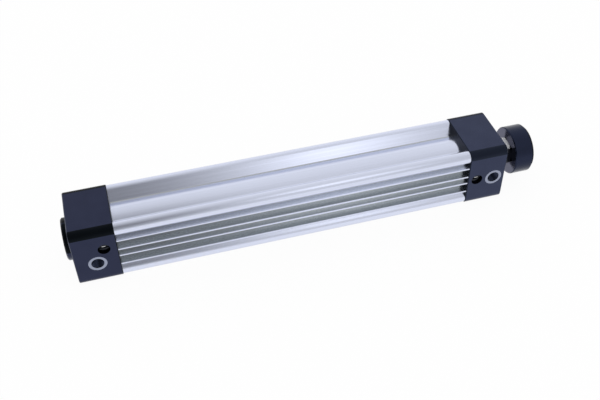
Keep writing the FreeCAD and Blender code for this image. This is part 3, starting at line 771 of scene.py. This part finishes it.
def wiper_shape():
    """Rings of points round the axis, each at a radius that depends on the angle and at a depth behind the
    face. The rim's rings step inward from the outer circle, the dish's ring lies a share of the way from
    the outer circle to the hexagon, and the lip's rings step outward from the hexagon."""
    angle = np.linspace(0, 2 * np.pi, wiper_points_around, endpoint=False)
    hexagon = hexagon_radius(angle, rod_across_flats + 2 * wiper_gap, rod_corner_r + wiper_gap)
    outer = np.full_like(angle, wiper_high.z)
    dish = outer + wiper_dish_share * (hexagon - outer)
    rim, lip = np.array(wiper_rim), np.array(wiper_lip)
    radii = np.concatenate([outer - rim[:, :1], dish[None], hexagon + lip[:, :1]])
    depths = np.concatenate([rim[:, 1], [wiper_dish_depth], lip[:, 1]])
    x = np.broadcast_to(wiper_high.x - depths[:, None], radii.shape)
    points = np.stack([x, radii * np.cos(angle), radii * np.sin(angle)], -1)
    return points.reshape(-1, 3), [ring_faces(len(depths), len(angle), closed=True)[:, [0, 3, 2, 1]]]


rubber = mottled("black_rubber", grain=0.00015, colours=rubber_colours, tones=(0.85, 1.15),
                 roughness=(0.5, 0.66), relief=0.000012)
wiper = added("wiper_lip", *wiper_shape(), rubber, smooth=True)
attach(wiper, "housing")
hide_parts("rod_wiper")


# The seals are moulded rings of the same black rubber as the wiper.
# They lie in grooves of the caps, the piston and the adjusting screws, and round the rod.
dress(rubber, "rear_barrel_seal", "front_barrel_seal", "rear_cushion_seal", "front_cushion_seal",
      "rear_screw_seal", "front_screw_seal", "rod_seal", "piston_static_seal", "rear_piston_seal",
      "front_piston_seal")


# The clip that holds the rod seal and the dowel that keys the guide bush are spring steel.
# Both are pressed into the front cap, out of sight, and stay grey from hardening.
spring_colours = ((0.10, 0.10, 0.11), (0.20, 0.20, 0.21))
spring = mottled("spring_steel", grain=0.0003, colours=spring_colours, roughness=(0.28, 0.42),
                 relief=0.000006, Metallic=1.0)
dress(spring, "seal_clip", "bush_key")


# The guide bush is pressed from bronze powder, sintered and sized to the rod's hexagon.
# It sits in the front cap, and its grains are bright between dark pores.
bronze_colours = ((0.28, 0.15, 0.06), (0.60, 0.36, 0.15))
bronze_pores = (0.35, 0.6)
bronze_roughness = (0.34, 0.5)
bronze_relief = 0.00001

bronze, tree, place = material("sintered_bronze")
specks = use(tree, grit, Place=place["Object"], Grain=0.00012)
colour = blend(tree, ramp(tree, specks["Fine"], *bronze_pores), *bronze_colours)
roughness = vary(tree, specks["Cloud"], *bronze_roughness)
surface(tree, colour, roughness, specks["Fine"], bronze_relief, Metallic=1.0)
dress(bronze, "guide_bush")


# The cushion sleeve sits on the rod's neck before the piston, and the cushion spear is the nut behind it.
# Both are turned from steel and zinc plated as the cap screws are.
dress(zinc, "cushion_sleeve", "cushion_spear")


# The piston is two halves turned from aluminium bar, which the spear clamps together on the rod's tail.
# The tool's rings show on them.
piston_colours = ((0.72, 0.73, 0.75), (0.62, 0.63, 0.66))
piston_tones = (0.95, 1.03)
piston_roughness = (0.26, 0.4)
piston_relief = 0.000004

machined, tree, place = material("machined_aluminium")
specks = use(tree, grit, Place=place["Object"], Grain=0.0003)
rings = use(tree, turned_rings, Place=place["Object"], Feed=0.0003)["Rings"]
colour = blend(tree, specks["Cloud"], *piston_colours)
colour = shade(tree, colour, ramp(tree, rings, -1.0, 1.0, *piston_tones))
surface(tree, colour, vary(tree, specks["Cloud"], *piston_roughness), rings, piston_relief, Metallic=1.0)
dress(machined, "piston_rear_half", "piston_front_half")


# The magnet ring is pressed ferrite, which sensors in the barrel's grooves can find.
# It lies between the piston's halves, under the wear ring.
ferrite_colours = ((0.035, 0.034, 0.036), (0.06, 0.057, 0.058))
ferrite_roughness = (0.5, 0.7)
ferrite_relief = 0.00001

ferrite, tree, place = material("magnet_ferrite")
specks = use(tree, grit, Place=place["Object"], Grain=0.0002)
colour = blend(tree, specks["Cloud"], *ferrite_colours)
surface(tree, colour, vary(tree, specks["Fine"], *ferrite_roughness), specks["Fine"], ferrite_relief)
dress(ferrite, "magnet_ring")


# The wear ring guides the piston in the tube and keeps metal from metal.
# It is turned from pale acetal and lies over the magnet ring.
acetal_colours = ((0.72, 0.70, 0.64), (0.80, 0.78, 0.73))
acetal = mottled("acetal", grain=0.0003, colours=acetal_colours, roughness=(0.32, 0.44), relief=0.000008)
dress(acetal, "guide_ring")


# The bumpers at the piston's ends are moulded polyurethane rings.
# They take the knock when the piston comes to its end.
urethane_colours = ((0.20, 0.10, 0.030), (0.27, 0.15, 0.050))
urethane = mottled("polyurethane", grain=0.0003, colours=urethane_colours, roughness=(0.30, 0.42),
                   relief=0.000006)
dress(urethane, "rear_bumper", "front_bumper")
